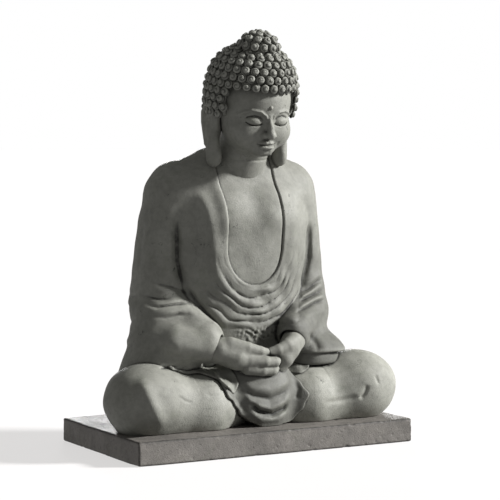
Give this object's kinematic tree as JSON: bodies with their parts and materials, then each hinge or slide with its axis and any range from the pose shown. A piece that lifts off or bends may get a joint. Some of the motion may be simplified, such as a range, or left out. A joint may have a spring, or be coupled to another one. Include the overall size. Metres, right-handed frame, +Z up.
{
  "type": "buddha statue",
  "caption": "Seated meditating figure in draped robes with curled hair and topknot, on a rectangular slab, in weathered grey-green stone.",
  "frame": {"origin": "middle of the slab's underside, on the ground", "axes": "+Z up, -Y the way the figure faces, +X to the figure's left"},
  "size_m": [0.46, 0.256, 0.6014],
  "materials": {
    "figure_stone": "smooth weathered, dark in the creases",
    "slab_stone": "rough, pitted and chipped",
    "dowel_steel": "plain, hidden inside"
  },
  "bodies": {
    "root": {"base_slab": "slab_stone", "torso": "figure_stone", "chest_panel": "figure_stone", "robe_collar": "figure_stone", "robe_swags": "figure_stone", "right_sleeve": "figure_stone", "left_sleeve": "figure_stone", "right_leg": "figure_stone", "left_leg": "figure_stone", "right_hand": "figure_stone", "left_hand": "figure_stone", "lap_cloth": "figure_stone", "right_cloth_flap": "figure_stone", "left_cloth_flap": "figure_stone", "head": "figure_stone", "right_ear": "figure_stone", "left_ear": "figure_stone", "hair_cap": "figure_stone", "topknot": "figure_stone", "hair_curls": "figure_stone", "urna": "figure_stone", "base_dowels": "dowel_steel", "hip_dowels": "dowel_steel", "shoulder_dowels": "dowel_steel", "wrist_dowels": "dowel_steel", "neck_dowel": "dowel_steel", "topknot_dowel": "dowel_steel"}
  },
  "joints": []
}
